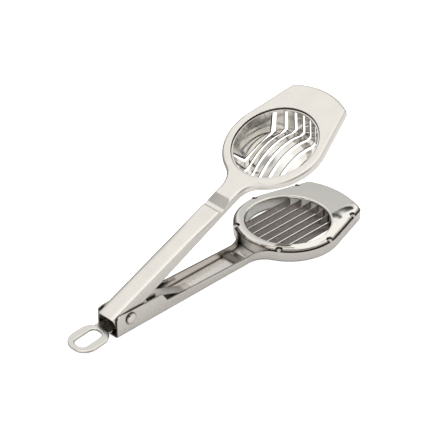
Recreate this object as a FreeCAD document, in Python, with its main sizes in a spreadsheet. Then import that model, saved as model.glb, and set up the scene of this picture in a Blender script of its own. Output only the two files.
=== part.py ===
import FreeCAD, Part
import math
import os
import types

import Sketcher

# Hand-held egg slicer of pressed stainless steel.
# X runs from the hinge to the tip, Y to the left, Z up.
# The origin lies on the base plane, straight under the hinge rivet.
# Lengths are in millimetres and angles in degrees.
SIZES = {
    # Sheet and hinge shared by both arms
    "sheet": 1.0,
    "arm_width": 15.7,
    "nest_gap": 0.15,
    "pivot_height": 8.85,
    "open_angle": 22.8,
    # Plan of both heads
    "head_x": 130.7,
    "head_radius": 31.8,
    "neck_radius": 12.2,
    "taper_angle": 17.0,
    "tip_corner": 4.3,
    "tip_x": 175.6,
    "tip_radius": 43.8,
    "ring_band": 6.8,
    # Lower arm
    "lower_rear": 9.8,
    "rim_height": 6.6,
    "ear_length": 23.6,
    "ear_rear_height": 13.4,
    "ear_front_height": 12.5,
    "ear_corner": 2.4,
    "notch_run": 3.6,
    "wall_height": 7.1,
    "waist_height": 4.9,
    "waist_x": 92.0,
    "rim_start_x": 102.5,
    "base_round": 1.4,
    "lower_crease_x": 83.5,
    # Pressed crease across each neck
    "crease_depth": 1.5,
    "crease_step": 1.2,
    "crease_floor": 2.6,
    "crease_ramp": 6.4,
    # Crimp tabs and their notches
    "tab_radius": 1.3,
    "tab_rise": 0.9,
    "notch_radius": 2.1,
    "notch_inset": 1.2,
    "tab_side_angle": 85.0,
    "tab_neck_angle": 146.0,
    "tab_tip_run": 23.0,
    # Cover plate and blade carrier
    "plate_thickness": 1.7,
    "plate_inset": 1.0,
    "plate_round": 1.1,
    "plate_lip": 0.3,
    "plate_skin": 0.8,
    "carrier_wall": 0.8,
    "seat_gap": 0.1,
    # Blades
    "blade_count": 7,
    "blade_pitch": 5.6,
    "blade_thickness": 0.7,
    "blade_height": 4.75,
    "blade_edge": 0.2,
    "blade_bevel": 0.6,
    "blade_end": 0.6,
    "blade_fit": 0.05,
    # Upper arm
    "upper_inset": 0.8,
    "upper_rear": 9.6,
    "upper_top": 16.0,
    "upper_round": 1.8,
    "opening_gap": 0.5,
    "opening_round": 0.5,
    "skirt_depth": 4.2,
    "skirt_x": 100.0,
    "upper_waist_depth": 4.0,
    "upper_waist_x": 88.0,
    "upper_wall_depth": 6.9,
    "stop_drop": 3.95,
    "lobe_radius": 5.0,
    "upper_crease_x": 76.5,
    # Press cup
    "cup_wall": 0.8,
    "cup_lip": 0.4,
    "cup_depth": 12.6,
    "cup_draft": 18.4,
    "cup_groove": 2.4,
    "dome_rise": 5.4,
    "slot_width": 2.1,
    "slot_land": 0.2,
    "flange_gap": 0.3,
    # Rivet
    "rivet_radius": 2.0,
    "rivet_head_radius": 3.5,
    "rivet_head_rim": 0.6,
    "rivet_dome_rise": 1.1,
    "running_gap": 0.06,
    # Latch loop
    "tongue_thickness": 1.2,
    "latch_height": 4.5,
    "loop_thickness": 1.8,
    "loop_width": 19.2,
    "loop_length": 22.4,
    "loop_gap": 3.0,
    "loop_corner": 8.5,
    "loop_side_band": 5.3,
    "loop_end_band": 3.4,
    "loop_round": 0.8,
    "loop_droop": 5.0,
    "wing_gap": 0.3,
    "wing_thickness": 0.8,
    "wing_border": 1.1,
    "latch_stroke": 5.0,
    "dimple_x": 13.0,
    "dimple_z": 10.4,
    "dimple_radius": 0.8,
    "dimple_reach": 1.2,
    "dimple_gap": 0.2,
    "dimple_path": 1.5,
    "hook_height": 2.2,
    # Leaf spring
    "spring_width": 7.0,
    "spring_thickness": 0.7,
    "spring_bend": 2.65,
    "spring_rise_radius": 10.0,
    "spring_rise_angle": 40.0,
    "spring_arch_radius": 14.0,
    "spring_fall_angle": 20.5,
    "spring_foot_radius": 8.0,
    "spring_foot": 3.0,
    "spring_leg": 38.0,
    "spring_seat": 0.05,
}

doc = FreeCAD.newDocument("egg_slicer")
sheet = doc.addObject("Spreadsheet::Sheet", "Sizes")
for row, (alias, number) in enumerate(SIZES.items(), start=1):
    sheet.set("A%d" % row, alias)
    sheet.set("B%d" % row, str(number))
    sheet.setAlias("B%d" % row, alias)
doc.recompute()


# Sizes that keep both their number and the sheet formula behind it
class Dim:
    def __init__(self, number, formula):
        self.number = number
        self.formula = formula

    def __add__(self, other):
        other = dim(other)
        return Dim(self.number + other.number, "(%s + %s)" % (self.formula, other.formula))

    def __sub__(self, other):
        other = dim(other)
        return Dim(self.number - other.number, "(%s - %s)" % (self.formula, other.formula))

    def __mul__(self, other):
        other = dim(other)
        return Dim(self.number * other.number, "(%s * %s)" % (self.formula, other.formula))

    def __truediv__(self, other):
        other = dim(other)
        return Dim(self.number / other.number, "(%s / %s)" % (self.formula, other.formula))

    def __neg__(self):
        return Dim(-self.number, "(-%s)" % self.formula)


def dim(value):
    """Makes a size of a plain number, and leaves a size as it is."""
    return value if isinstance(value, Dim) else Dim(float(value), repr(float(value)))


def sine(angle):
    return Dim(math.sin(math.radians(angle.number)), "sin(%s)" % angle.formula)


def cosine(angle):
    return Dim(math.cos(math.radians(angle.number)), "cos(%s)" % angle.formula)


def arc_sine(ratio):
    return Dim(math.degrees(math.asin(ratio.number)), "(asin(%s) / 1deg)" % ratio.formula)


def root(square):
    return Dim(math.sqrt(square.number), "sqrt(%s)" % square.formula)


linked = {alias: Dim(float(number), "Sizes." + alias) for alias, number in SIZES.items()}
s = types.SimpleNamespace(**linked)

# Sizes that several pieces share
half_width = s.arm_width / 2
opening_radius = s.head_radius - s.ring_band
upper_half = half_width - s.sheet - s.nest_gap
ceiling = s.upper_top - s.sheet
plate_top = s.rim_height + s.plate_thickness
blade_bottom = s.sheet + s.carrier_wall
wing_half = upper_half - s.sheet - s.wing_gap


# Sketch helpers
def new_body(label):
    body = doc.addObject("PartDesign::Body", label)
    body.Label = label
    return body


def origin_plane(body, role):
    return next(plane for plane in body.Origin.OriginFeatures if plane.Role == role)


def new_sketch(body, role, name, height=None):
    """Opens a sketch on one of the body's own planes, moved along the plane's normal by height."""
    sketch = body.newObject("Sketcher::SketchObject", "%s_%s" % (body.Label, name))
    sketch.AttachmentSupport = [(origin_plane(body, role), "")]
    sketch.MapMode = "FlatFace"
    if height is not None:
        sketch.AttachmentOffset = FreeCAD.Placement(FreeCAD.Vector(0, 0, height.number), FreeCAD.Rotation())
        sketch.setExpression("AttachmentOffset.Base.z", height.formula)
    return sketch


def relate(sketch, kind, *where):
    sketch.addConstraint(Sketcher.Constraint(kind, *where))


def measure(sketch, kind, where, value):
    """Adds a dimension that follows the sheet."""
    number = math.radians(value.number) if kind == "Angle" else value.number
    index = sketch.addConstraint(Sketcher.Constraint(kind, *where, number))
    sketch.setExpression("Constraints[%d]" % index, value.formula)


def place(sketch, geometry, point, x, y):
    """Pins a point of the sketch at x, y."""
    for kind, axis, value in (("DistanceX", -2, dim(x)), ("DistanceY", -1, dim(y))):
        if abs(value.number) < 1e-9:
            relate(sketch, "PointOnObject", geometry, point, axis)
        elif value.number > 0:
            measure(sketch, kind, (-1, 1, geometry, point), value)
        else:
            measure(sketch, kind, (geometry, point, -1, 1), -value)


def arc_between(start, end, radius):
    """Arc of less than a half circle, turning left from start to end when radius is positive."""
    chord = end - start
    left = FreeCAD.Vector(-chord.y, chord.x, 0).normalize()
    rise = math.sqrt(radius ** 2 - (chord.Length / 2) ** 2)
    centre = (start + end) * 0.5 + left * math.copysign(rise, radius)
    first, last = (start, end) if radius > 0 else (end, start)
    angles = [math.atan2(point.y - centre.y, point.x - centre.x) for point in (first, last)]
    return Part.ArcOfCircle(Part.Circle(centre, FreeCAD.Vector(0, 0, 1), abs(radius)), *angles)


def outline(sketch, corners):
    """Closed outline through the corners. A third value in a corner is the radius of the arc that
    leads to the next corner: positive when it turns left."""
    ends = []
    for corner, following in zip(corners, corners[1:] + corners[:1]):
        start, end = [FreeCAD.Vector(dim(c[0]).number, dim(c[1]).number, 0) for c in (corner, following)]
        if len(corner) == 2:
            ends.append((sketch.addGeometry(Part.LineSegment(start, end)), 1, 2))
        elif corner[2].number > 0:
            ends.append((sketch.addGeometry(arc_between(start, end, corner[2].number)), 1, 2))
        else:
            ends.append((sketch.addGeometry(arc_between(start, end, corner[2].number)), 2, 1))
    for index, corner in enumerate(corners):
        before, (geometry, first, last) = ends[index - 1], ends[index]
        relate(sketch, "Coincident", before[0], before[2], geometry, first)
        place(sketch, geometry, first, corner[0], corner[1])
        if len(corner) == 3:
            size = corner[2] if corner[2].number > 0 else -corner[2]
            measure(sketch, "Radius", (geometry,), size)


def circle(sketch, x, y, radius):
    centre = FreeCAD.Vector(dim(x).number, dim(y).number, 0)
    geometry = sketch.addGeometry(Part.Circle(centre, FreeCAD.Vector(0, 0, 1), radius.number))
    measure(sketch, "Radius", (geometry,), radius)
    place(sketch, geometry, 3, x, y)


def rectangle(sketch, low_x, low_y, high_x, high_y):
    outline(sketch, [(low_x, low_y), (high_x, low_y), (high_x, high_y), (low_x, high_y)])


def half_head(body, name, inset, height=None, handle=None, rear=None):
    """Left half of a head's plan, drawn in by inset: tip, corner, straight side and round, and
    where a handle half-width is given, the neck and the handle as far back as rear."""
    sketch = new_sketch(body, "XY_Plane", name, height)
    centre = FreeCAD.Vector(s.head_x.number, 0, 0)
    radius = s.head_radius - inset
    tip = s.tip_x - inset
    tip_radius = s.tip_radius - inset
    corner_radius = s.tip_corner - inset
    up = FreeCAD.Vector(0, 0, 1)
    taper = math.radians(s.taper_angle.number)
    along = FreeCAD.Vector(math.cos(taper), -math.sin(taper), 0)
    outward = FreeCAD.Vector(math.sin(taper), math.cos(taper), 0)
    side_start = centre + outward * radius.number
    tip_centre = FreeCAD.Vector(tip.number - tip_radius.number, 0, 0)
    # The corner's centre lies its own radius inside the side and inside the tip arc
    track = side_start - outward * corner_radius.number - tip_centre
    drift = track.dot(along)
    reach = (tip_radius.number - corner_radius.number) ** 2
    corner_centre = tip_centre + track + along * (math.sqrt(drift ** 2 - track.dot(track) + reach) - drift)
    side_end = corner_centre + outward * corner_radius.number
    tip_angle = math.atan2(corner_centre.y, corner_centre.x - tip_centre.x)
    side_angle = math.pi / 2 - taper
    apex = FreeCAD.Vector(tip.number, 0, 0)
    back = centre - FreeCAD.Vector(radius.number, 0, 0)
    back_angle = math.pi
    if handle is not None:
        neck_radius = s.neck_radius + inset
        neck_height = handle.number + neck_radius.number
        neck_reach = math.sqrt((radius.number + neck_radius.number) ** 2 - neck_height ** 2)
        neck_centre = centre + FreeCAD.Vector(-neck_reach, neck_height, 0)
        back_angle = math.atan2(neck_height, -neck_reach)
        back = FreeCAD.Vector(-rear.number, 0, 0)
    sketch.addGeometry(Part.LineSegment(back, apex))
    sketch.addGeometry(Part.ArcOfCircle(Part.Circle(tip_centre, up, tip_radius.number), 0, tip_angle))
    corner = Part.Circle(corner_centre, up, corner_radius.number)
    sketch.addGeometry(Part.ArcOfCircle(corner, tip_angle, side_angle))
    sketch.addGeometry(Part.LineSegment(side_end, side_start))
    sketch.addGeometry(Part.ArcOfCircle(Part.Circle(centre, up, radius.number), side_angle, back_angle))
    for geometry, point in ((0, 1), (0, 2), (1, 3), (4, 3)):
        relate(sketch, "PointOnObject", geometry, point, -1)
    relate(sketch, "Coincident", 0, 2, 1, 1)
    relate(sketch, "Tangent", 1, 2, 2, 1)
    relate(sketch, "Tangent", 2, 2, 3, 1)
    relate(sketch, "Tangent", 3, 2, 4, 1)
    measure(sketch, "DistanceX", (-1, 1, 0, 2), tip)
    measure(sketch, "DistanceX", (-1, 1, 4, 3), s.head_x)
    measure(sketch, "Radius", (1,), tip_radius)
    measure(sketch, "Radius", (2,), corner_radius)
    measure(sketch, "Radius", (4,), radius)
    measure(sketch, "Angle", (3,), dim(180) - s.taper_angle)
    if handle is None:
        relate(sketch, "Coincident", 4, 2, 0, 1)
        return sketch
    neck = Part.Circle(neck_centre, up, neck_radius.number)
    sketch.addGeometry(Part.ArcOfCircle(neck, -math.pi / 2, back_angle - math.pi))
    neck_end = FreeCAD.Vector(neck_centre.x, handle.number, 0)
    rear_corner = FreeCAD.Vector(-rear.number, handle.number, 0)
    sketch.addGeometry(Part.LineSegment(neck_end, rear_corner))
    sketch.addGeometry(Part.LineSegment(rear_corner, back))
    relate(sketch, "Tangent", 4, 2, 5, 2)
    relate(sketch, "Tangent", 5, 1, 6, 1)
    relate(sketch, "Coincident", 6, 2, 7, 1)
    relate(sketch, "Coincident", 7, 2, 0, 1)
    relate(sketch, "Horizontal", 6)
    relate(sketch, "Vertical", 7)
    measure(sketch, "Radius", (5,), neck_radius)
    measure(sketch, "DistanceY", (-1, 1, 6, 1), handle)
    measure(sketch, "DistanceX", (0, 1, -1, 1), rear)
    return sketch


# Feature helpers
def volume(body):
    return body.Tip.Shape.Volume if body.Tip and not body.Tip.Shape.isNull() else 0.0


def extrude(body, kind, sketch, length=None, side="One side", upward=False):
    """Pads or pockets a sketch. With no length the pocket goes right through."""
    before = volume(body)
    step = body.newObject("PartDesign::" + kind, "%s_%s" % (sketch.Name, kind.lower()))
    step.Profile = sketch
    step.SideType = side
    step.Reversed = upward
    if length is None:
        step.Type = "ThroughAll"
    else:
        step.Length = length.number
        step.setExpression("Length", length.formula)
    doc.recompute()
    grown = volume(body) > before
    if grown != (kind == "Pad"):
        raise RuntimeError(step.Name + " changes nothing")
    return step


def mirror(body, steps):
    copy = body.newObject("PartDesign::Mirrored", body.Label + "_mirror")
    copy.Originals = steps
    copy.MirrorPlane = (origin_plane(body, "XZ_Plane"), [""])
    body.Tip = copy
    doc.recompute()


def revolve(body, sketch, axis):
    step = body.newObject("PartDesign::Revolution", sketch.Name + "_turn")
    step.Profile = sketch
    step.ReferenceAxis = (sketch, [axis])
    step.Angle = 360
    doc.recompute()


def round_edges(body, radius, chosen):
    """Rounds every edge for which chosen(edge) is true."""
    base = body.Tip
    names = ["Edge%d" % (i + 1) for i, edge in enumerate(base.Shape.Edges) if chosen(edge)]
    step = body.newObject("PartDesign::Fillet", "%s_round_%d" % (body.Label, len(body.Group)))
    step.Base = (base, names)
    step.Radius = radius.number
    step.setExpression("Radius", radius.formula)
    doc.recompute()


def level(edge, z):
    return all(abs(vertex.Z - z.number) < 1e-6 for vertex in edge.Vertexes)


def on_opening(edge):
    """True for the rims of the round opening."""
    centre = FreeCAD.Vector(s.head_x.number, 0, edge.Vertexes[0].Z)
    spread = s.head_radius.number - s.sheet.number
    return all(vertex.Point.distanceToPoint(centre) < spread for vertex in edge.Vertexes)


def across(edge):
    """True for a straight edge that runs across the arm."""
    first, last = edge.Vertexes[0].Point, edge.Vertexes[-1].Point
    return abs(first.x - last.x) < 1e-6 and abs(first.z - last.z) < 1e-6


def upright(edge):
    """True for an edge that runs straight up."""
    first, last = edge.Vertexes[0].Point, edge.Vertexes[-1].Point
    return abs(first.x - last.x) < 1e-6 and abs(first.y - last.y) < 1e-6


def raise_arm(body):
    """Turns a piece that is drawn closed up to the sprung-open rest position."""
    turn = "rotation(vector(0; 1; 0); -%s)" % s.open_angle.formula
    hinge = "vector(0; 0; %s)" % s.pivot_height.formula
    body.setExpression("Placement", "placement(vector(0; 0; 0); %s; %s)" % (turn, hinge))


def tab_centres(inset):
    """Middles of the six crimp tabs, inset from the outside of the head."""
    radius = s.head_radius - inset
    places = [
        (s.head_x + radius * cosine(angle), radius * sine(angle))
        for angle in (s.tab_side_angle, s.tab_neck_angle)
    ]
    side_x = s.head_x + radius * sine(s.taper_angle) + s.tab_tip_run * cosine(s.taper_angle)
    side_y = radius * cosine(s.taper_angle) - s.tab_tip_run * sine(s.taper_angle)
    places.append((side_x, side_y))
    return places + [(x, -y) for x, y in places]


def tabs(body, bottom, inset):
    """Raises the tabs from bottom; inset is that of the head they stand in."""
    sketch = new_sketch(body, "XY_Plane", "tabs", bottom)
    for x, y in tab_centres(s.tab_radius + inset):
        circle(sketch, x, y, s.tab_radius)
    extrude(body, "Pad", sketch, s.tab_rise)


def hinge_holes(body, radius):
    sketch = new_sketch(body, "XZ_Plane", "hinge")
    circle(sketch, 0, s.pivot_height, radius)
    extrude(body, "Pocket", sketch, side="Symmetric")


def crease(body, start, face, into, width, rib_width):
    """Presses the crease across the neck: a rib on the inside of the sheet, then the dent itself.
    face is the outside of the sheet and into is +1 or -1, the way the dent goes along Z."""
    floor_start = start + s.crease_step
    ramp_start = floor_start + s.crease_floor
    stop = ramp_start + s.crease_ramp
    inside = face + s.sheet * into
    half_sheet = s.sheet / 2
    rib = new_sketch(body, "XZ_Plane", "crease_rib")
    deep = inside + s.crease_depth * into
    root_level = inside - half_sheet * into
    outline(rib, [(start - half_sheet, root_level), (floor_start - half_sheet, deep),
                  (ramp_start + half_sheet, deep), (stop + half_sheet, root_level)])
    extrude(body, "Pad", rib, rib_width, "Symmetric")
    dent = new_sketch(body, "XZ_Plane", "crease_dent")
    bottom = face + s.crease_depth * into
    outside = face - s.sheet * into
    outline(dent, [(start, face), (floor_start, bottom), (ramp_start, bottom), (stop, face),
                   (stop, outside), (start, outside)])
    extrude(body, "Pocket", dent, width, "Symmetric")


# Lower arm: channel handle with hinge ears, and the pan that takes the blades
def make_lower_arm():
    body = new_body("lower_arm")
    outside = half_head(body, "outside", dim(0), None, half_width, s.lower_rear)
    blank = extrude(body, "Pad", outside, s.ear_rear_height)
    inside = half_head(body, "inside", s.sheet, s.sheet, half_width - s.sheet, s.lower_rear + s.sheet)
    hollow = extrude(body, "Pocket", inside, upward=True)
    mirror(body, [blank, hollow])
    trim = new_sketch(body, "XZ_Plane", "wall_top")
    rear, past_rear = -s.lower_rear, -s.lower_rear - s.sheet
    past_tip = s.tip_x + s.sheet
    above = s.ear_rear_height + s.sheet
    ear_fall = (s.ear_rear_height - s.ear_front_height) / (s.ear_length + s.lower_rear)
    outline(trim, [
        (past_rear, above), (past_rear, s.ear_rear_height - s.ear_corner),
        (rear, s.ear_rear_height - s.ear_corner, -s.ear_corner),
        (rear + s.ear_corner, s.ear_rear_height - ear_fall * s.ear_corner),
        (s.ear_length, s.ear_front_height), (s.ear_length + s.notch_run, s.wall_height),
        (s.waist_x, s.waist_height), (s.rim_start_x, s.rim_height),
        (past_tip, s.rim_height), (past_tip, above)])
    extrude(body, "Pocket", trim, side="Symmetric")
    opening = new_sketch(body, "XY_Plane", "opening")
    circle(opening, s.head_x, 0, opening_radius)
    extrude(body, "Pocket", opening, s.sheet, upward=True)
    hinge_holes(body, s.rivet_radius + s.running_gap / 2)
    round_edges(body, s.base_round, lambda e: level(e, dim(0)) and not on_opening(e) and not across(e))
    inner_width = s.arm_width - s.sheet * 2
    crease(body, s.lower_crease_x, dim(0), 1, inner_width, s.arm_width - s.sheet)
    tabs(body, s.rim_height, dim(0))
    return body


# Blade carrier: drawn ring like a trough, with a slotted inner wall
def make_blade_carrier():
    body = new_body("blade_carrier")
    clearance = s.sheet + s.seat_gap
    height = s.rim_height - s.seat_gap - s.sheet
    blank = extrude(body, "Pad", half_head(body, "outside", clearance, s.sheet), height)
    inside = half_head(body, "inside", clearance + s.carrier_wall, blade_bottom)
    hollow = extrude(body, "Pocket", inside, upward=True)
    mirror(body, [blank, hollow])
    collar = new_sketch(body, "XY_Plane", "collar", s.sheet)
    circle(collar, s.head_x, 0, opening_radius + s.carrier_wall)
    extrude(body, "Pad", collar, height)
    bore = new_sketch(body, "XY_Plane", "bore")
    circle(bore, s.head_x, 0, opening_radius)
    extrude(body, "Pocket", bore, upward=True)
    slots = new_sketch(body, "XY_Plane", "slots", blade_bottom)
    half_slot = s.blade_thickness / 2 + s.blade_fit
    for y in blade_places():
        half_length = blade_half_length(y) + s.blade_fit
        rectangle(slots, s.head_x - half_length, y - half_slot, s.head_x + half_length, y + half_slot)
    extrude(body, "Pocket", slots, upward=True)
    return body


def blade_places():
    middle = (s.blade_count - 1) / 2
    return [(dim(number) - middle) * s.blade_pitch for number in range(int(SIZES["blade_count"]))]


def blade_half_length(y):
    """Half a blade's length: it ends just behind the collar's wall."""
    end_radius = opening_radius + s.carrier_wall + s.blade_end
    return root(end_radius * end_radius - y * y)


# Cover plate: shallow pressed lid crimped over the pan, with a notch for each tab
def make_cover_plate():
    body = new_body("cover_plate")
    blank = extrude(body, "Pad", half_head(body, "outside", s.plate_inset, s.rim_height), s.plate_thickness)
    lip_depth = s.plate_thickness - s.plate_skin
    inside = half_head(body, "inside", s.plate_inset + s.plate_skin, s.rim_height)
    hollow = extrude(body, "Pocket", inside, lip_depth, upward=True)
    mirror(body, [blank, hollow])
    lip_radius = opening_radius - s.plate_lip
    lip = new_sketch(body, "XY_Plane", "lip", s.rim_height)
    circle(lip, s.head_x, 0, lip_radius + s.plate_skin)
    extrude(body, "Pad", lip, lip_depth)
    opening = new_sketch(body, "XY_Plane", "opening", s.rim_height)
    circle(opening, s.head_x, 0, lip_radius)
    extrude(body, "Pocket", opening, upward=True)
    round_edges(body, s.plate_round, lambda e: level(e, plate_top))
    notches = new_sketch(body, "XY_Plane", "notches", s.rim_height)
    for x, y in tab_centres(s.notch_inset):
        circle(notches, x, y, s.notch_radius)
    extrude(body, "Pocket", notches, upward=True)
    return body


# Blades: flat strips with a bevelled upper edge, seated in the carrier's slots
def make_blades():
    blades = []
    for number, y in enumerate(blade_places(), start=1):
        body = new_body("blade_%d" % number)
        sketch = new_sketch(body, "YZ_Plane", "section", s.head_x)
        top = blade_bottom + s.blade_height
        half, edge = s.blade_thickness / 2, s.blade_edge / 2
        shoulder = top - s.blade_bevel
        outline(sketch, [(y - half, blade_bottom), (y + half, blade_bottom), (y + half, shoulder),
                         (y + edge, top), (y - edge, top), (y - half, shoulder)])
        extrude(body, "Pad", sketch, blade_half_length(y) * 2, "Symmetric")
        blades.append(body)
    return blades


# Upper arm: the same pressing turned over, nested between the ears
def make_upper_arm():
    body = new_body("upper_arm")
    outside = half_head(body, "outside", s.upper_inset, None, upper_half, s.upper_rear)
    blank = extrude(body, "Pad", outside, s.upper_top)
    inside = half_head(body, "inside", s.upper_inset + s.sheet, None, upper_half - s.sheet,
                       s.upper_rear + s.sheet)
    hollow = extrude(body, "Pocket", inside, ceiling, upward=True)
    mirror(body, [blank, hollow])
    opening = new_sketch(body, "XY_Plane", "opening", ceiling)
    circle(opening, s.head_x, 0, opening_radius + s.opening_gap)
    extrude(body, "Pocket", opening, upward=True)
    trim = new_sketch(body, "XZ_Plane", "wall_bottom")
    past_rear, past_tip = -s.upper_rear - s.sheet, s.tip_x + s.sheet
    wall_bottom, stop_bottom = s.upper_top - s.upper_wall_depth, s.pivot_height - s.stop_drop
    skirt_bottom = s.upper_top - s.skirt_depth
    outline(trim, [
        (past_rear, -s.sheet), (past_tip, -s.sheet), (past_tip, skirt_bottom), (s.skirt_x, skirt_bottom),
        (s.upper_waist_x, s.upper_top - s.upper_waist_depth),
        (lobe_end(wall_bottom), wall_bottom, -s.lobe_radius),
        (-lobe_end(stop_bottom), stop_bottom), (past_rear, stop_bottom)])
    extrude(body, "Pocket", trim, side="Symmetric")
    hinge_holes(body, s.rivet_radius + s.running_gap)
    outer = lambda e: level(e, s.upper_top) and not on_opening(e) and not across(e)
    round_edges(body, s.upper_round, outer)
    round_edges(body, s.opening_round, lambda e: level(e, s.upper_top) and on_opening(e))
    crease(body, s.upper_crease_x, s.upper_top, -1, s.arm_width, upper_half * 2 - s.sheet)
    flange_bottom = ceiling - s.cup_wall - s.seat_gap
    tabs(body, flange_bottom - s.tab_rise, s.upper_inset)
    bar = new_sketch(body, "XZ_Plane", "dimples")
    circle(bar, s.dimple_x, s.dimple_z, s.dimple_radius)
    extrude(body, "Pad", bar, upper_half * 2 - s.sheet, "Symmetric")
    gap = new_sketch(body, "XZ_Plane", "dimple_gap")
    circle(gap, s.dimple_x, s.dimple_z, s.dimple_radius + s.dimple_gap)
    extrude(body, "Pocket", gap, (upper_half - s.sheet - s.dimple_reach) * 2, "Symmetric")
    raise_arm(body)
    return body


def lobe_end(height):
    """Distance from the hinge, along the arm, at which the round lobe meets the wall's edge."""
    drop = s.pivot_height - height
    return root(s.lobe_radius * s.lobe_radius - drop * drop)


# Press cup: slotted bowl with a domed bottom, on a flange that fills the press head
def make_press_cup():
    body = new_body("press_cup")
    flange = half_head(body, "flange", s.upper_inset + s.sheet + s.flange_gap, ceiling - s.cup_wall)
    mirror(body, [extrude(body, "Pad", flange, s.cup_wall)])
    top_radius = opening_radius - s.cup_lip
    bore = new_sketch(body, "XY_Plane", "bore", ceiling - s.cup_wall)
    circle(bore, s.head_x, 0, top_radius)
    extrude(body, "Pocket", bore, upward=True)
    slope = sine(s.cup_draft) / cosine(s.cup_draft)
    floor_radius = top_radius - (s.cup_depth - s.cup_wall) * slope
    skin = s.cup_wall / cosine(s.cup_draft)
    low = ceiling - s.cup_depth
    floor_level = low + s.cup_wall
    foot_radius = floor_radius + skin - s.cup_wall * slope
    dome_foot = floor_radius - s.cup_groove
    dome_radius = (dome_foot * dome_foot + s.dome_rise * s.dome_rise) / (s.dome_rise * 2)
    crown = floor_level + s.dome_rise
    under_radius = dome_radius - s.cup_wall
    under_drop = dome_radius - crown + low
    under_foot = root(under_radius * under_radius - under_drop * under_drop)
    bowl = new_sketch(body, "XZ_Plane", "bowl")
    axis_low = FreeCAD.Vector(s.head_x.number, 0, 0)
    axis = sketch_axis(bowl, axis_low)
    outline(bowl, [
        (s.head_x + top_radius, ceiling), (s.head_x + floor_radius, floor_level),
        (s.head_x + dome_foot, floor_level, dome_radius), (s.head_x, crown),
        (s.head_x, crown - s.cup_wall, -under_radius), (s.head_x + under_foot, low),
        (s.head_x + foot_radius, low), (s.head_x + top_radius + skin, ceiling)])
    revolve(body, bowl, axis)
    slots = new_sketch(body, "YZ_Plane", "slots")
    slot_top = ceiling - s.cup_wall - s.slot_land
    for y in blade_places():
        rectangle(slots, y - s.slot_width / 2, low - s.cup_wall, y + s.slot_width / 2, slot_top)
    extrude(body, "Pocket", slots, upward=True)
    raise_arm(body)
    return body


def sketch_axis(sketch, foot):
    """Upright construction line at the head's middle."""
    line = sketch.addGeometry(Part.LineSegment(foot, foot + FreeCAD.Vector(0, s.upper_top.number, 0)), True)
    relate(sketch, "Vertical", line)
    place(sketch, line, 1, s.head_x, 0)
    measure(sketch, "DistanceY", (line, 1, line, 2), s.upper_top)
    return "Axis0"


# Pivot rivet: shank through both arms, with a round head on each ear: a short rim and a dome
def make_pivot_rivet():
    body = new_body("pivot_rivet")
    sketch = new_sketch(body, "XY_Plane", "section")
    head, rise = s.rivet_head_radius, s.rivet_dome_rise
    rim_end = half_width + s.rivet_head_rim
    dome = (head * head + rise * rise) / (rise * 2)
    outline(sketch, [
        (0, -rim_end - rise, dome), (head, -rim_end), (head, -half_width), (s.rivet_radius, -half_width),
        (s.rivet_radius, half_width), (head, half_width), (head, rim_end, dome), (0, rim_end + rise)])
    revolve(body, sketch, "V_Axis")
    body.setExpression("Placement.Base.z", s.pivot_height.formula)
    return body


# Latch loop: flat pull loop, with a tongue and two side plates that ride on the rivet
def make_latch_loop():
    body = new_body("latch_loop")
    half_loop, half_ring = s.loop_width / 2, s.loop_thickness / 2
    loop_start = -s.lower_rear - s.loop_gap
    loop_end = loop_start - s.loop_length
    fall = sine(s.loop_droop) / cosine(s.loop_droop)
    start_level = s.latch_height - s.loop_gap * fall
    end_level = start_level - s.loop_length * fall
    side = new_sketch(body, "XZ_Plane", "side")
    outline(side, [(loop_end, end_level - half_ring), (loop_start, start_level - half_ring),
                   (loop_start, start_level + half_ring), (loop_end, end_level + half_ring)])
    extrude(body, "Pad", side, s.loop_width, "Symmetric")
    plan = new_sketch(body, "XY_Plane", "plan")
    margin = half_loop + s.sheet
    rectangle(plan, loop_end - s.sheet, -margin, loop_start + s.sheet, margin)
    rounded_slot(plan, loop_end, loop_start, half_loop, s.loop_corner)
    rounded_slot(plan, loop_end + s.loop_end_band, loop_start - s.loop_end_band,
                 half_loop - s.loop_side_band, s.loop_corner - s.loop_side_band)
    extrude(body, "Pocket", plan, side="Symmetric")
    round_edges(body, s.loop_round, lambda e: not upright(e))
    half_tongue = s.tongue_thickness / 2
    top, bottom = s.latch_height + half_tongue, s.latch_height - half_tongue
    pocket_end = s.dimple_x + s.latch_stroke + s.dimple_path
    front = pocket_end + s.wing_border
    tongue = new_sketch(body, "XZ_Plane", "tongue")
    rectangle(tongue, loop_start - s.loop_end_band / 2, bottom, front, top)
    extrude(body, "Pad", tongue, wing_half * 2, "Symmetric")
    slot_radius = s.rivet_radius + s.running_gap
    eye = slot_radius + s.wing_border
    path_start, path_end = s.dimple_x - s.dimple_path, s.dimple_x + s.dimple_path
    pocket_low = s.dimple_z - s.dimple_radius - s.dimple_gap
    pocket_high = s.dimple_z + s.dimple_radius + s.dimple_gap
    wing_top = s.pivot_height + eye
    hook_top = pocket_high + s.hook_height
    wings = new_sketch(body, "XZ_Plane", "wings")
    outline(wings, [
        (-eye, bottom), (front, bottom), (front, hook_top), (path_end, hook_top), (path_end, pocket_high),
        (pocket_end, pocket_high), (pocket_end, pocket_low), (path_start, pocket_low),
        (path_start, wing_top), (0, wing_top, eye), (-eye, s.pivot_height)])
    outline(wings, [
        (0, s.pivot_height + slot_radius, slot_radius), (-slot_radius, s.pivot_height, slot_radius),
        (0, s.pivot_height - slot_radius), (s.latch_stroke, s.pivot_height - slot_radius, slot_radius),
        (s.latch_stroke + slot_radius, s.pivot_height, slot_radius),
        (s.latch_stroke, s.pivot_height + slot_radius)])
    extrude(body, "Pad", wings, wing_half * 2, "Symmetric")
    between = new_sketch(body, "XZ_Plane", "between_wings")
    rectangle(between, -eye - s.sheet, top, front + s.sheet, hook_top + s.sheet)
    extrude(body, "Pocket", between, (wing_half - s.wing_thickness) * 2, "Symmetric")
    return body


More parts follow.
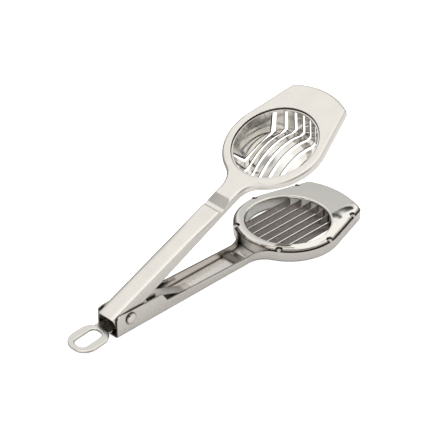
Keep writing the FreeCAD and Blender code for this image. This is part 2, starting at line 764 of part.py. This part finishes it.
def rounded_slot(sketch, low, high, half, corner):
    """Rectangle from low to high along X, half wide to each side, with round corners."""
    outline(sketch, [
        (low + corner, half, corner), (low, half - corner),
        (low, corner - half, corner), (low + corner, -half),
        (high - corner, -half, corner), (high, corner - half),
        (high, half - corner, corner), (high - corner, half)])


# Leaf spring: strip bent round the rivet, one leg on the lower floor and one under the upper arm
def make_leaf_spring():
    body = new_body("leaf_spring")
    spine = new_sketch(body, "XZ_Plane", "spine")
    rise, fall = s.spring_rise_angle, s.spring_fall_angle
    half_thick = s.spring_thickness / 2
    foot_level = s.sheet + s.spring_seat + half_thick
    low = s.pivot_height - s.spring_bend
    rise_end = (s.spring_rise_radius * sine(rise), low + s.spring_rise_radius * (dim(1) - cosine(rise)))
    arch_end = (rise_end[0] + s.spring_arch_radius * (sine(rise) + sine(fall)),
                rise_end[1] + s.spring_arch_radius * (cosine(fall) - cosine(rise)))
    toe_level = foot_level + s.spring_foot_radius * (dim(1) - cosine(fall))
    toe_x = arch_end[0] + (arch_end[1] - toe_level) * cosine(fall) / sine(fall)
    foot_x = toe_x + s.spring_foot_radius * sine(fall)
    lift = (ceiling - s.pivot_height - half_thick - s.spring_seat - s.spring_bend) / s.spring_leg
    lean = s.open_angle + arc_sine(lift)
    bend_end = (-s.spring_bend * sine(lean), s.pivot_height + s.spring_bend * cosine(lean))
    leg_end = (bend_end[0] + s.spring_leg * cosine(lean), bend_end[1] + s.spring_leg * sine(lean))
    path(spine, [
        (foot_x + s.spring_foot, foot_level), (foot_x, foot_level, -s.spring_foot_radius),
        (toe_x, toe_level), (arch_end[0], arch_end[1], s.spring_arch_radius),
        (rise_end[0], rise_end[1], -s.spring_rise_radius), (dim(0), low, -s.spring_bend),
        (-s.spring_bend, s.pivot_height, -s.spring_bend), (bend_end[0], bend_end[1]), leg_end])
    section = new_sketch(body, "YZ_Plane", "section", foot_x + s.spring_foot)
    half_strip = s.spring_width / 2
    rectangle(section, -half_strip, foot_level - half_thick, half_strip, foot_level + half_thick)
    strip = body.newObject("PartDesign::AdditivePipe", "leaf_spring_strip")
    strip.Profile = section
    strip.Spine = spine
    doc.recompute()
    return body


def path(sketch, corners):
    """Open line through the corners, with arcs as in an outline."""
    last = None
    for corner, following in zip(corners, corners[1:]):
        start, end = [FreeCAD.Vector(c[0].number, c[1].number, 0) for c in (corner, following)]
        bent = len(corner) == 3
        shape = arc_between(start, end, corner[2].number) if bent else Part.LineSegment(start, end)
        geometry = sketch.addGeometry(shape)
        first = 2 if bent and corner[2].number < 0 else 1
        if last:
            relate(sketch, "Coincident", last[0], last[1], geometry, first)
        place(sketch, geometry, first, corner[0], corner[1])
        if bent:
            measure(sketch, "Radius", (geometry,), corner[2] if first == 1 else -corner[2])
        last = (geometry, 3 - first)
    place(sketch, last[0], last[1], *corners[-1])


pieces = [
    make_lower_arm(),
    make_blade_carrier(),
    make_cover_plate(),
    *make_blades(),
    make_upper_arm(),
    make_press_cup(),
    make_pivot_rivet(),
    make_latch_loop(),
    make_leaf_spring(),
]
doc.recompute()

for item in doc.Objects:
    if "Invalid" in item.State or "Error" in item.State:
        raise RuntimeError("%s failed to build" % item.Name)
for piece in pieces:
    if piece.Shape.isNull() or not piece.Shape.isValid() or len(piece.Shape.Solids) != 1:
        raise RuntimeError("%s is not one sound solid" % piece.Label)

os.makedirs("parts", exist_ok=True)
for piece in pieces:
    piece.Shape.exportStep("parts/%s.step" % piece.Label)
    box = piece.Shape.BoundBox
    corners = (box.XMin, box.YMin, box.ZMin, box.XMax, box.YMax, box.ZMax)
    print(piece.Label, "%.1f mm3" % piece.Shape.Volume, " ".join("%.2f" % corner for corner in corners))
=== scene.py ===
import math

import bpy
import numpy as np
from mathutils import Matrix, Vector


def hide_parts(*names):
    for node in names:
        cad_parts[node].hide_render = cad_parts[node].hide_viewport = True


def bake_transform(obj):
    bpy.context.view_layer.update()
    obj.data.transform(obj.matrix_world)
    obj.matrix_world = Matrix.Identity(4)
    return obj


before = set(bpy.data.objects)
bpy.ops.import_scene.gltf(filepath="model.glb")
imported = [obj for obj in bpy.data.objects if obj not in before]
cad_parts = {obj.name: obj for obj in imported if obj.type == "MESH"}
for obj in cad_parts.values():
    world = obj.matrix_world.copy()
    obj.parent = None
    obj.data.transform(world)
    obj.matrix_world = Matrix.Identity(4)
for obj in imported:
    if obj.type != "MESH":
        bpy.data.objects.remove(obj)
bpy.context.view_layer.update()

MM = 0.001


# Lower arm: one pressing of stainless sheet, the channel handle with its hinge ears and the pan
# that takes the blades. It is blanked, bent up and buffed outside, and left as rolled inside the
# channel. The cut edges are only broken, and painted shade darkens them.
def linear(colour):
    """Turns an sRGB hex value to linear light."""
    parts = np.array([int(colour[i:i + 2], 16) for i in (1, 3, 5)]) / 255
    return (*np.where(parts <= 0.04045, parts / 12.92, ((parts + 0.055) / 1.055) ** 2.4), 1.0)


def add_node(tree, kind, settings=None, inputs=None):
    """Adds a node: settings are its properties, and inputs its sockets' values or the outputs
    that they take."""
    node = tree.nodes.new(kind)
    for name, value in (settings or {}).items():
        setattr(node, name, value)
    for name, value in (inputs or {}).items():
        if isinstance(value, bpy.types.NodeSocket):
            tree.links.new(value, node.inputs[name])
        else:
            node.inputs[name].default_value = value
    return node


def buffed_stainless(name, colour, dull, gloss, lean=0.0, edge=0.5, corner=1.6, patches=(), bends=()):
    """Stainless sheet that was cold rolled and then buffed: an even soft shine, faint streaks along
    the arm and a little unevenness a few millimetres wide. The streaks of the real buffing are too
    fine to show, so they are drawn half a millimetre wide. Corners that shut out light get painted
    shade: there the colour is darkened towards a brown tone by ambient occlusion.

    gloss and dull are the least and the most roughness, lean is the arm's slope in degrees, and edge
    and corner are the widths of the broken cut edge and of the painted corner shade in millimetres.
    Each patch is (axis, sign, least, ranges, tone): it takes the tone where the normal on that axis
    times the sign is over least and the place lies in all the ranges, in millimetres along X, Y or Z
    or out from the press head's middle as R. Each bend is a roll of the sheet: past its start,
    measured from its centre, the surface falls as a power of the way to its stop, where it has the
    given slope. The fall can ripple in waves, and can fade out along X."""
    streak_width, streak_length, cloud_width = 0.5 * MM, 14 * MM, 9 * MM
    streak_detail, cloud_detail, streak_share = 3.0, 2.0, 0.3
    streak_depth, streak_strength = 0.01 * MM, 0.02
    noise_low, noise_high = 0.35, 0.65
    edge_rays, corner_rays = 6, 8
    # Brown tone of the painted corner shade, and the open shares where it is full and where it ends
    corner_shade, shut_in, open_air = "#4E443E", 0.45, 0.9
    head_middle = 134.13
    material = bpy.data.materials.new(name)
    material.use_nodes = True
    tree = material.node_tree
    shader = tree.nodes["Principled BSDF"]
    shader.inputs["Metallic"].default_value = 1.0
    spot = add_node(tree, "ShaderNodeTexCoord").outputs
    place = spot["Object"]
    turned = add_node(tree, "ShaderNodeMapping", {"vector_type": "TEXTURE"}, {
        "Vector": place, "Rotation": (0, -math.radians(lean), 0)}).outputs["Vector"]
    drawn = add_node(tree, "ShaderNodeVectorMath", {"operation": "MULTIPLY"}, {
        0: turned, 1: (1 / streak_length, 1 / streak_width, 1 / streak_width)}).outputs["Vector"]
    streaks = add_node(tree, "ShaderNodeTexNoise", None, {
        "Vector": drawn, "Scale": 1.0, "Detail": streak_detail}).outputs["Fac"]
    clouds = add_node(tree, "ShaderNodeTexNoise", None, {
        "Vector": turned, "Scale": 1 / cloud_width, "Detail": cloud_detail}).outputs["Fac"]
    uneven = add_node(tree, "ShaderNodeMix", None, {
        "Factor": streak_share, "A": clouds, "B": streaks}).outputs["Result"]
    rough = add_node(tree, "ShaderNodeMapRange", None, {
        "Value": uneven, "From Min": noise_low, "From Max": noise_high,
        "To Min": gloss, "To Max": dull}).outputs["Result"]

    facing = add_node(tree, "ShaderNodeSeparateXYZ", None, {0: spot["Normal"]}).outputs
    axes = add_node(tree, "ShaderNodeSeparateXYZ", None, {0: turned}).outputs
    from_middle = add_node(tree, "ShaderNodeVectorMath", {"operation": "MULTIPLY_ADD"}, {
        0: turned, 1: (1, 1, 0), 2: (-head_middle * MM, 0, 0)}).outputs["Vector"]
    outwards = add_node(tree, "ShaderNodeVectorMath", {"operation": "LENGTH"}, {
        0: from_middle}).outputs["Value"]
    where = {"X": axes["X"], "Y": axes["Y"], "Z": axes["Z"], "R": outwards}
    toned = linear(colour)
    for axis, sign, least, ranges, tone in patches:
        towards = add_node(tree, "ShaderNodeMath", {"operation": "MULTIPLY"}, {
            0: facing[axis], 1: sign}).outputs["Value"]
        inside = add_node(tree, "ShaderNodeMath", {"operation": "GREATER_THAN"}, {
            0: towards, 1: least}).outputs["Value"]
        for measure, (low, high) in ranges.items():
            within = add_node(tree, "ShaderNodeMath", {"operation": "COMPARE"}, {
                0: where[measure], 1: (low + high) / 2 * MM, 2: (high - low) / 2 * MM}).outputs["Value"]
            inside = add_node(tree, "ShaderNodeMath", {"operation": "MULTIPLY"}, {
                0: inside, 1: within}).outputs["Value"]
        toned = add_node(tree, "ShaderNodeMix", {"data_type": "RGBA"}, {
            "Factor": inside, 6: toned, 7: linear(tone)}).outputs[2]
    # Painted shade: where the surface is shut in, the colour is mixed towards the dark corner tone
    open_share = add_node(tree, "ShaderNodeAmbientOcclusion", {"samples": corner_rays}, {
        "Distance": corner * MM}).outputs["AO"]
    unshaded = add_node(tree, "ShaderNodeMapRange", {"interpolation_type": "SMOOTHSTEP"}, {
        "Value": open_share, "From Min": shut_in, "From Max": open_air}).outputs["Result"]
    toned = add_node(tree, "ShaderNodeMix", {"data_type": "RGBA"}, {
        "Factor": unshaded, 6: linear(corner_shade), 7: toned}).outputs[2]

    broken = add_node(tree, "ShaderNodeBevel", {"samples": edge_rays}, {
        "Radius": edge * MM}).outputs["Normal"]
    relief = add_node(tree, "ShaderNodeBump", None, {
        "Strength": streak_strength, "Distance": streak_depth, "Height": streaks,
        "Normal": broken}).outputs["Normal"]
    for bend in bends:
        centred = add_node(tree, "ShaderNodeVectorMath", {"operation": "MULTIPLY_ADD"}, {
            0: turned, 1: bend["along"], 2: -Vector(bend["centre"]) * MM}).outputs["Vector"]
        away = add_node(tree, "ShaderNodeVectorMath", {"operation": "LENGTH"}, {
            0: centred}).outputs["Value"]
        past = add_node(tree, "ShaderNodeMapRange", None, {
            "Value": away, "From Min": bend["start"] * MM,
            "From Max": bend["stop"] * MM}).outputs["Result"]
        fall = add_node(tree, "ShaderNodeMath", {"operation": "POWER"}, {
            0: past, 1: bend["power"]}).outputs["Value"]
        if "ripple" in bend:
            waves = add_node(tree, "ShaderNodeTexNoise", None, {
                "Vector": place, "Scale": 1 / (bend["wave"] * MM), "Detail": 0.0}).outputs["Fac"]
            shaken = add_node(tree, "ShaderNodeMath", {"operation": "MULTIPLY"}, {
                0: waves, 1: bend["ripple"]}).outputs["Value"]
            fall = add_node(tree, "ShaderNodeMath", {"operation": "MULTIPLY_ADD"}, {
                0: shaken, 1: past, 2: fall}).outputs["Value"]
        if "fade" in bend:
            fade_start, fade_stop = bend["fade"]
            kept = add_node(tree, "ShaderNodeMapRange", {"interpolation_type": "SMOOTHSTEP"}, {
                "Value": where["X"], "From Min": fade_start * MM, "From Max": fade_stop * MM,
                "To Min": 1.0, "To Max": 0.0}).outputs["Result"]
            fall = add_node(tree, "ShaderNodeMath", {"operation": "MULTIPLY"}, {
                0: fall, 1: kept}).outputs["Value"]
        depth = bend["slope"] * (bend["stop"] - bend["start"]) / bend["power"]
        relief = add_node(tree, "ShaderNodeBump", {"invert": True}, {
            "Strength": 1.0, "Distance": depth * MM, "Height": fall,
            "Normal": relief}).outputs["Normal"]
    tree.links.new(toned, shader.inputs["Base Color"])
    tree.links.new(rough, shader.inputs["Roughness"])
    tree.links.new(relief, shader.inputs["Normal"])
    return material


def dress(node, material):
    """Gives a CAD node its finish."""
    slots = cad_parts[node].data.materials
    slots.clear()
    slots.append(material)


# Painted shade for the cut edges, and a lighter one for the right wall's top ahead of its ear
painted_edge_shade, lighter_edge_shade = "#6E655F", "#A59D96"
rolled_floor, rolled_wall = "#E5E1DB", "#DBD7D1"
# Painted shadow under the spring, and painted shade in the crease and on the left crimp tabs
spring_shade, crease_shade, tab_shade = "#3A322D", "#7E7771", "#453C36"
arm_steel = buffed_stainless("buffed_stainless_lower", "#CAC6C0", 0.3, 0.2, corner=2.0, patches=[
    # Painted shade on the tops of the walls, lighter on the right one ahead of its ear, and on the
    # ears' rear edges
    ("Z", 1, 0.7, {"Z": (3.5, 7.3)}, painted_edge_shade),
    ("Z", 1, 0.7, {"X": (42, 102), "Y": (-10, -5), "Z": (3.5, 7.3)}, lighter_edge_shade),
    ("X", -1, 0.7, {"X": (-12, 0)}, painted_edge_shade),
    # Painted shade on the crimp tabs along the left side
    ("Z", 1, 0.7, {"X": (118, 180), "Y": (12, 40), "Z": (7.4, 7.6)}, tab_shade),
    # Inside of the channel: its floor, a painted shadow under the spring, its two walls and painted
    # shade in the crease
    ("Z", 1, 0.7, {"X": (-12, 100), "Y": (-7, 7), "Z": (0.5, 3)}, rolled_floor),
    ("Z", 1, 0.7, {"X": (20, 46), "Y": (-3.5, 3.5), "Z": (0.5, 3)}, spring_shade),
    ("Y", -1, 0.7, {"X": (24, 102), "Y": (5, 8)}, rolled_wall),
    ("Y", 1, 0.7, {"X": (24, 102), "Y": (-8, -5)}, rolled_wall),
    ("Z", 1, 0.3, {"X": (83.4, 88.5), "Y": (-7, 7), "Z": (1.1, 2.7)}, crease_shade)])
dress("lower_arm", arm_steel)


# Blade carrier: a dish drawn from thin stainless sheet and left matt, laid in the pan under the
# plate. The slots in its collar hold the blades by their ends.
carrier_steel = buffed_stainless("drawn_stainless_carrier", "#ECEBE8", 0.55, 0.45, corner=0.6)
dress("blade_carrier", carrier_steel)


# Blades: seven strips of hardened stainless, set in the carrier's slots side by side. They are
# ground on both faces, and sharpened along the top with a narrow bevel.
sharpened_edge = "#958E88"
blade_steel = buffed_stainless("ground_stainless_blades", "#A19994", 0.34, 0.22, edge=0.08, patches=[
    ("Z", 1, 0.2, {"Z": (0, 10)}, sharpened_edge)])
for node in sorted(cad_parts):
    if node.startswith("blade_") and node != "blade_carrier":
        dress(node, blade_steel)


# Cover plate: a shallow lid pressed from stainless sheet and polished brighter than the arms,
# crimped down over the carrier by six small tabs of the pan. The press rolls its right and rear
# borders down softly, and painted shade darkens its cut rim, more on the left.
right_fold = {"along": (0, 1, 0), "centre": (0, 100, 0), "start": 113.0, "stop": 129.0,
              "slope": 0.3, "power": 2.0, "wave": 9.0, "ripple": 0.6}
rear_fold = {"along": (1, 1, 0), "centre": (130.7, 0, 0), "start": 27.4, "stop": 31.4,
             "slope": 0.4, "power": 2.0, "fade": (108, 120)}
# Painted shade on the plate's cut rim, darker on its left side
plate_rim_shade, plate_left_rim_shade = "#A39A93", "#7A716B"
plate_steel = buffed_stainless(
    "buffed_stainless_plate", "#DEDBD4", 0.13, 0.06, bends=(right_fold, rear_fold), patches=[
        ("Z", -1, -0.7, {"R": (27, 60)}, plate_rim_shade),
        ("Z", -1, -0.96, {"R": (27, 60), "Y": (5, 40)}, plate_left_rim_shade)])
dress("cover_plate", plate_steel)


# Leaf spring: a strip of rolled spring steel, bent to shape and hung round the rivet. One leg
# stands on the lower arm and the other lies under the upper arm, so it bends where it passes
# round the rivet.
spring_width, spring_thick = 7.0, 0.7
spring_start, spring_heading = (50.26, 1.4), 180
# Each run of the strip is its length in millimetres and the degrees it turns on the way
spring_runs = [(3.0, 0), (2.862, -20.5), (25.77, 0), (14.783, 60.5), (6.981, -40), (7.053, -152.5),
               (38.0, 0)]


def strip_line(runs, start, heading, step=0.2):
    """Middle line of a bent strip: the heading is the running sum of the turn per millimetre, and
    the points are the running sum of the heading."""
    lengths, turns = np.array(runs).T
    ends = np.cumsum(lengths)
    along = np.linspace(0, ends[-1], int(ends[-1] / step))
    turned = np.interp(along, np.concatenate(([0], ends)), np.concatenate(([0], np.cumsum(turns))))
    angle = np.radians(heading + turned)
    middle = (angle[1:] + angle[:-1]) / 2
    steps = np.diff(along)[:, None] * np.stack((np.cos(middle), np.sin(middle)), 1)
    return np.array(start) + np.concatenate((np.zeros((1, 2)), np.cumsum(steps, 0))), angle


def strip_mesh(name, line, angle, width, thick, sides=28):
    """Carries a flat oval section along the line: each point of the section is moved out sideways
    and along the line's normal. The ends are closed by one face each."""
    turn = np.linspace(0, 2 * np.pi, sides, endpoint=False)
    across = np.sign(np.cos(turn)) * (width / 2 - thick / 2) + np.cos(turn) * thick / 2
    out = np.sin(turn) * thick / 2
    normal = np.stack((-np.sin(angle), np.cos(angle)), 1)
    points = np.empty((len(line), sides, 3))
    points[..., 1] = across
    points[..., 0::2] = line[:, None, :] + normal[:, None, :] * out[None, :, None]
    row, column = np.meshgrid(np.arange(len(line) - 1), np.arange(sides), indexing="ij")
    here, beside = row * sides + column, row * sides + (column + 1) % sides
    faces = np.stack((here, beside, beside + sides, here + sides), -1).reshape(-1, 4).tolist()
    last = (len(line) - 1) * sides
    faces += [list(range(sides - 1, -1, -1)), list(range(last, last + sides))]
    mesh = bpy.data.meshes.new(name)
    mesh.from_pydata((points.reshape(-1, 3) * MM).tolist(), [], faces)
    mesh.shade_smooth()
    piece = bpy.data.objects.new(name, mesh)
    bpy.context.scene.collection.objects.link(piece)
    return piece


spring_line, spring_angle = strip_line(spring_runs, spring_start, spring_heading)
spring = strip_mesh("spring_strip", spring_line, spring_angle, spring_width, spring_thick)
spring_steel = buffed_stainless("rolled_spring_steel", "#D2CDC7", 0.42, 0.32)
spring.data.materials.append(spring_steel)
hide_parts("leaf_spring")
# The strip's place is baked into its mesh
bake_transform(spring)


# Latch loop: a flat pull loop of thicker stainless sheet at the rear end, blanked and tumbled
# smooth. Its tongue and side plates ride on the rivet inside the arms, and its sides get painted shade.
# Painted shade on the loop's sides and underside
loop_side_shade = "#A8A19A"
loop_steel = buffed_stainless(
    "tumbled_stainless_loop", "#D8D5CE", 0.28, 0.2, edge=0.1, corner=0.4, patches=[
        ("Z", -1, -0.3, {"X": (-40, 0)}, loop_side_shade)])
dress("latch_loop", loop_steel)


# Upper arm: a pressing of the same sheet as the lower arm, turned over, with the round opening for
# the cup. Its back is slightly crowned by the bending, and it hangs on the rivet between the ears.
arm_lean = 22.8
upper_crown = {"along": (0, 1, 0), "centre": (0, 0, 0), "start": 0.0, "stop": 6.7,
               "slope": 0.6, "power": 4.0, "fade": (55, 76)}
# Painted shade for deep cuts, for the left side and for the right wall
painted_deep_shade, upper_left_shade, upper_right_wall_shade = "#5E554F", "#B5AFA9", "#C7C3BC"
upper_steel = buffed_stainless(
    "buffed_stainless_upper", "#D6D2CB", 0.3, 0.2, lean=arm_lean, bends=(upper_crown,), patches=[
        # Painted shade on the rear edge, the rim of the opening, the left side and the right wall
        ("X", -1, 0.7, {"X": (-20, 0)}, painted_edge_shade),
        ("Z", -1, -0.8, {"R": (0, 25.75)}, painted_deep_shade),
        ("Y", 1, 0.25, {"Y": (5, 40)}, upper_left_shade),
        ("Y", -1, 0.8, {"X": (-20, 100), "Y": (-12, -5)}, upper_right_wall_shade)])
dress("upper_arm", upper_steel)


# Press cup: a bowl with a domed bottom, deep drawn from thin stainless sheet, slotted for the
# blades and polished. Its flange is held inside the press head.
cup_steel = buffed_stainless(
    "drawn_stainless_cup", "#D9D6D0", 0.2, 0.1, lean=arm_lean, edge=0.15, corner=2.0, patches=[
        # Painted shade on the cut sides of the slots
        ("Y", 1, 0.97, {"X": (0, 200)}, painted_deep_shade),
        ("Y", -1, 0.97, {"X": (0, 200)}, painted_deep_shade)])
dress("press_cup", cup_steel)


# Pivot rivet: solid steel through both arms, its domed heads set over the ears and polished by the
# setting tool, with painted shade in a ring round each dome and darker painted shade on its rim.
# Painted shade in a ring round the dome
rivet_ring_shade = "#8A817B"
rivet_steel = buffed_stainless("polished_steel_rivet", "#CFCAC4", 0.2, 0.1, edge=0.15, patches=[
    ("Y", 1, -0.88, {"Y": (-12, 0)}, rivet_ring_shade),
    ("Y", -1, -0.88, {"Y": (0, 12)}, rivet_ring_shade),
    ("Y", 1, -0.5, {"Y": (-12, 0)}, painted_deep_shade),
    ("Y", -1, -0.5, {"Y": (0, 12)}, painted_deep_shade)])
dress("pivot_rivet", rivet_steel)


# Floor: a plain sweep of white paper under the part. The camera sees it white, with the soft
# shadow left in, and metal sees it a little brighter than it is lit.
floor_reach, floor_drop = 3.0, 0.1 * MM
paper_white = (1, 1, 1, 1)
camera_lift, mirror_lift = 0.8, 0.1
floor_mesh = bpy.data.meshes.new("floor")
floor_mesh.from_pydata([(-floor_reach, -floor_reach, 0), (floor_reach, -floor_reach, 0),
                        (floor_reach, floor_reach, 0), (-floor_reach, floor_reach, 0)], [],
                       [(0, 1, 2, 3)])
floor_mesh.transform(Matrix.Translation((0, 0, -floor_drop)))
floor = bpy.data.objects.new("floor", floor_mesh)
bpy.context.scene.collection.objects.link(floor)
paper = bpy.data.materials.new("white_paper_sweep")
paper.use_nodes = True
tree = paper.node_tree
tree.nodes.clear()
matt = add_node(tree, "ShaderNodeBsdfDiffuse", None, {"Color": linear("#EDEDED")}).outputs["BSDF"]
glow = add_node(tree, "ShaderNodeEmission", None, {
    "Color": paper_white, "Strength": camera_lift}).outputs["Emission"]
lifted = add_node(tree, "ShaderNodeAddShader", None, {0: matt, 1: glow}).outputs["Shader"]
path = add_node(tree, "ShaderNodeLightPath").outputs
seen = add_node(tree, "ShaderNodeMixShader", None, {
    "Fac": path["Is Camera Ray"], 1: matt, 2: lifted}).outputs["Shader"]
shine = add_node(tree, "ShaderNodeEmission", None, {
    "Color": paper_white, "Strength": mirror_lift}).outputs["Emission"]
mirrored = add_node(tree, "ShaderNodeAddShader", None, {0: seen, 1: shine}).outputs["Shader"]
seen = add_node(tree, "ShaderNodeMixShader", None, {
    "Fac": path["Is Glossy Ray"], 1: seen, 2: mirrored}).outputs["Shader"]
add_node(tree, "ShaderNodeOutputMaterial", None, {"Surface": seen})
floor_mesh.materials.append(paper)


# Light: a white tent, bright above and greyer towards the horizon, with cards that the polished
# sheet mirrors, and one large soft box.
world = bpy.data.worlds.new("light_tent")
world.use_nodes = True
tree = world.node_tree
tree.nodes.clear()
sky = add_node(tree, "ShaderNodeTexCoord").outputs["Generated"]
height = add_node(tree, "ShaderNodeSeparateXYZ", None, {0: sky}).outputs["Z"]
share = add_node(tree, "ShaderNodeMapRange", None, {
    "Value": height, "From Min": -1.0, "From Max": 1.0}).outputs["Result"]
ramp = add_node(tree, "ShaderNodeValToRGB", None, {"Fac": share})
# Each stop: the share of the way from straight down to straight up, and the tent's level there
stops = [(0.0, 0.6), (0.47, 0.08), (0.525, 0.1), (0.6, 0.3), (0.7, 0.5), (0.775, 0.6), (0.85, 0.95),
         (0.93, 1.15), (1.0, 1.6)]
while len(ramp.color_ramp.elements) < len(stops):
    ramp.color_ramp.elements.new(0.5)
for element, (position, level) in zip(ramp.color_ramp.elements, stops):
    element.position = position
    element.color = (level, level, level, 1)
# Each card: its direction, the degrees to its edge and to the end of its soft border, and its level
cards = [
    ((0.3, 0.7, 0.65), 16, 24, 1.0),
    ((0.57, 0.605, 0.56), 10, 14, 0.98),
    ((0.017, 0.592, 0.806), 11, 16, 1.26),
    ((0.07, -0.74, 0.67), 10, 16, 1.3),
    ((-0.88, -0.2, 0.43), 25, 32, 1.2),
    ((0.6, -0.75, 0.28), 24, 34, 0.95),
    ((0.55, 0.05, 0.83), 24, 30, 1.25),
    ((-0.343, 0.592, 0.73), 8, 15, 0.55),
    ((0.72, 0.62, 0.3), 12, 20, 0.6),
    ((0.588, 0.46, 0.665), 3, 5, 0.05),
    ((-0.587, 0.59, 0.55), 7, 12, 1.1)]
glow = ramp.outputs["Color"]
for direction, edge, border, level in cards:
    facing = add_node(tree, "ShaderNodeVectorMath", {"operation": "DOT_PRODUCT"}, {
        0: sky, 1: Vector(direction).normalized()}).outputs["Value"]
    inside = add_node(tree, "ShaderNodeMapRange", {"interpolation_type": "SMOOTHSTEP"}, {
        "Value": facing, "From Min": math.cos(math.radians(border)),
        "From Max": math.cos(math.radians(edge))}).outputs["Result"]
    glow = add_node(tree, "ShaderNodeMix", {"data_type": "RGBA"}, {
        "Factor": inside, 6: glow, 7: (level, level, level, 1)}).outputs[2]
tent = add_node(tree, "ShaderNodeBackground", None, {"Color": glow}).outputs["Background"]
white = add_node(tree, "ShaderNodeBackground", None, {"Color": (1, 1, 1, 1)}).outputs["Background"]
path = add_node(tree, "ShaderNodeLightPath").outputs
shown = add_node(tree, "ShaderNodeMixShader", None, {
    "Fac": path["Is Camera Ray"], 1: tent, 2: white}).outputs["Shader"]
add_node(tree, "ShaderNodeOutputWorld", None, {"Surface": shown})
bpy.context.scene.world = world

soft_box = bpy.data.lights.new("soft_box", "AREA")
soft_box.size = 0.8
soft_box.energy = 2.5
lamp = bpy.data.objects.new("soft_box", soft_box)
lamp.location = (0.05, 0.62, 0.85)
lamp.rotation_euler = Vector(lamp.location).to_track_quat("Z", "Y").to_euler()
lamp.visible_glossy = False
bpy.context.scene.collection.objects.link(lamp)


# Camera: a long lens from the rear right and above, at the photograph's angle. Its place was
# fitted to points of the part, and its focal length is in pixels of a square picture.
azimuth, elevation, roll = math.radians(-44.787), math.radians(33.55), math.radians(0.3125)
aim = Vector((98.903, 27.903, 12.756)) * MM
distance, focal_pixels, frame_pixels = 1221.3 * MM, 2124.29, 430
back = Vector((math.sin(azimuth) * math.cos(elevation), -math.cos(azimuth) * math.cos(elevation),
               math.sin(elevation)))
level_right = Vector((0, 0, 1)).cross(back).normalized()
level_up = back.cross(level_right)
right = math.cos(roll) * level_right + math.sin(roll) * level_up
up = math.cos(roll) * level_up - math.sin(roll) * level_right
camera_data = bpy.data.cameras.new("camera")
camera_data.sensor_width = 36.0
camera_data.lens = focal_pixels / frame_pixels * camera_data.sensor_width
camera_data.clip_end = 20.0
camera = bpy.data.objects.new("camera", camera_data)
pose = Matrix((right, up, back)).transposed().to_4x4()
pose.translation = aim + back * distance
camera.matrix_world = pose
bpy.context.scene.collection.objects.link(camera)
bpy.context.scene.camera = camera
bpy.context.scene.view_settings.view_transform = "Standard"
